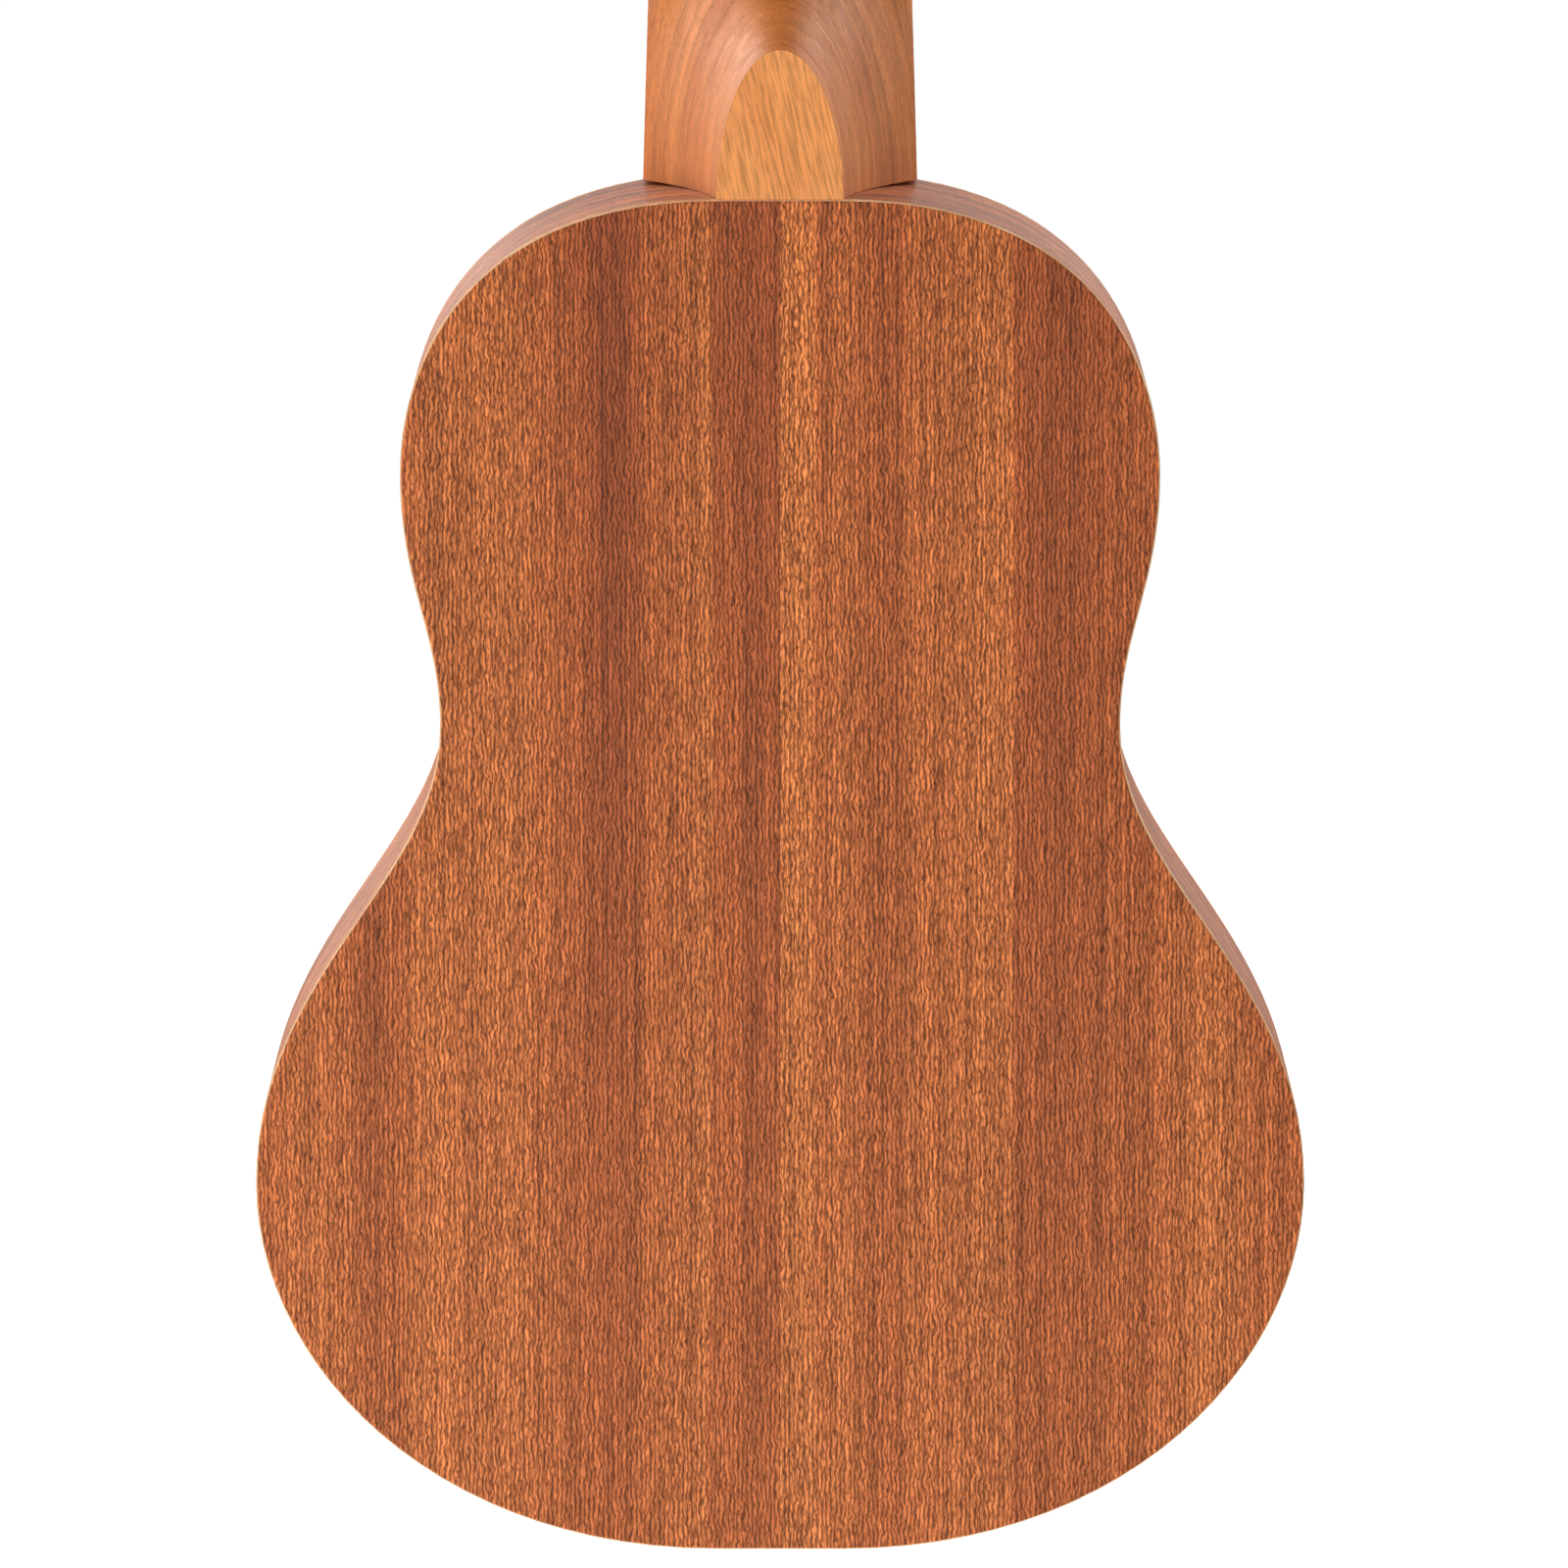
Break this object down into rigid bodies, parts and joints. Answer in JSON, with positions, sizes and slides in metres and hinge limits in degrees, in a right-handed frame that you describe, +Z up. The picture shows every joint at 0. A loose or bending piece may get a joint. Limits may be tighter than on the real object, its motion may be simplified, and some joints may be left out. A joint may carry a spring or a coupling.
{
  "type": "soprano ukulele",
  "caption": "Small four-string fretted instrument: waisted hollow body with a flat back, glued neck with a heel, tilted head with open-geared tuners, tie bridge.",
  "frame": {"origin": "centre line of the neck at the front of the nut, on the plane where the fretboard is glued to the neck, where a hanger yoke holds the head", "axes": "+Z up the neck from tail to head, +Y out of the soundboard, the flat back faces -Y"},
  "size_m": [0.177, 0.0675, 0.5283],
  "materials": {
    "body_veneer": "satin, ribbon-figured sapele",
    "inner_spruce": "raw spruce",
    "neck_wood": "satin okoume",
    "dark_wood": "oiled walnut",
    "bone": "polished bone-coloured resin",
    "fret_metal": "polished nickel silver",
    "tuner_metal": "nickel plated",
    "cog_brass": "machined",
    "button_plastic": "glossy ivory",
    "string": "smooth monofilament"
  },
  "bodies": {
    "instrument": {"soundboard": "body_veneer", "back_plate": "body_veneer", "bass_rib": "body_veneer", "treble_rib": "body_veneer", "neck_block": "inner_spruce", "tail_block": "inner_spruce", "top_lining_bass": "inner_spruce", "top_lining_treble": "inner_spruce", "back_lining_bass": "inner_spruce", "back_lining_treble": "inner_spruce", "upper_top_brace": "inner_spruce", "lower_top_brace": "inner_spruce", "upper_back_brace": "inner_spruce", "lower_back_brace": "inner_spruce", "bridge_plate": "inner_spruce", "neck": "neck_wood", "fretboard": "dark_wood", "bridge": "dark_wood", "nut": "bone", "saddle": "bone", "fret_01": "fret_metal", "fret_02": "fret_metal", "fret_03": "fret_metal", "fret_04": "fret_metal", "fret_05": "fret_metal", "fret_06": "fret_metal", "fret_07": "fret_metal", "fret_08": "fret_metal", "fret_09": "fret_metal", "fret_10": "fret_metal", "fret_11": "fret_metal", "fret_12": "fret_metal", "string_g": "string", "tuner_plate_g": "tuner_metal", "tuner_bushing_g": "tuner_metal", "string_c": "string", "tuner_plate_c": "tuner_metal", "tuner_bushing_c": "tuner_metal", "string_e": "string", "tuner_plate_e": "tuner_metal", "tuner_bushing_e": "tuner_metal", "string_a": "string", "tuner_plate_a": "tuner_metal", "tuner_bushing_a": "tuner_metal"},
    "button_g": {"tuner_worm_g": "tuner_metal", "tuner_button_g": "button_plastic"},
    "post_g": {"tuner_cog_g": "cog_brass", "tuner_post_g": "tuner_metal"},
    "button_c": {"tuner_worm_c": "tuner_metal", "tuner_button_c": "button_plastic"},
    "post_c": {"tuner_cog_c": "cog_brass", "tuner_post_c": "tuner_metal"},
    "button_e": {"tuner_worm_e": "tuner_metal", "tuner_button_e": "button_plastic"},
    "post_e": {"tuner_cog_e": "cog_brass", "tuner_post_e": "tuner_metal"},
    "button_a": {"tuner_worm_a": "tuner_metal", "tuner_button_a": "button_plastic"},
    "post_a": {"tuner_cog_a": "cog_brass", "tuner_post_a": "tuner_metal"}
  },
  "joints": [
    {"name": "button_turn_g", "type": "hinge", "parent": "instrument", "child": "button_g", "pos_m": [0.017, -0.02597, 0.04349], "axis": [1, 0, 0], "continuous": true},
    {"name": "post_turn_g", "type": "hinge", "parent": "instrument", "child": "post_g", "pos_m": [0.017, -0.00749, 0.04021], "axis": [0, 0.9781, 0.2079], "continuous": true},
    {"name": "button_turn_c", "type": "hinge", "parent": "instrument", "child": "button_c", "pos_m": [0.017, -0.0347, 0.08457], "axis": [1, 0, 0], "continuous": true},
    {"name": "post_turn_c", "type": "hinge", "parent": "instrument", "child": "post_c", "pos_m": [0.017, -0.01622, 0.0813], "axis": [0, 0.9781, 0.2079], "continuous": true},
    {"name": "button_turn_e", "type": "hinge", "parent": "instrument", "child": "button_e", "pos_m": [-0.017, -0.0347, 0.08457], "axis": [1, 0, 0], "continuous": true},
    {"name": "post_turn_e", "type": "hinge", "parent": "instrument", "child": "post_e", "pos_m": [-0.017, -0.01622, 0.0813], "axis": [0, 0.9781, 0.2079], "continuous": true},
    {"name": "button_turn_a", "type": "hinge", "parent": "instrument", "child": "button_a", "pos_m": [-0.017, -0.02597, 0.04349], "axis": [1, 0, 0], "continuous": true},
    {"name": "post_turn_a", "type": "hinge", "parent": "instrument", "child": "post_a", "pos_m": [-0.017, -0.00749, 0.04021], "axis": [0, 0.9781, 0.2079], "continuous": true}
  ],
  "couplings": [
    {"joint": "post_turn_g", "follows": "button_turn_g", "ratio": -0.071429},
    {"joint": "post_turn_c", "follows": "button_turn_c", "ratio": -0.071429},
    {"joint": "post_turn_e", "follows": "button_turn_e", "ratio": 0.071429},
    {"joint": "post_turn_a", "follows": "button_turn_a", "ratio": 0.071429}
  ]
}
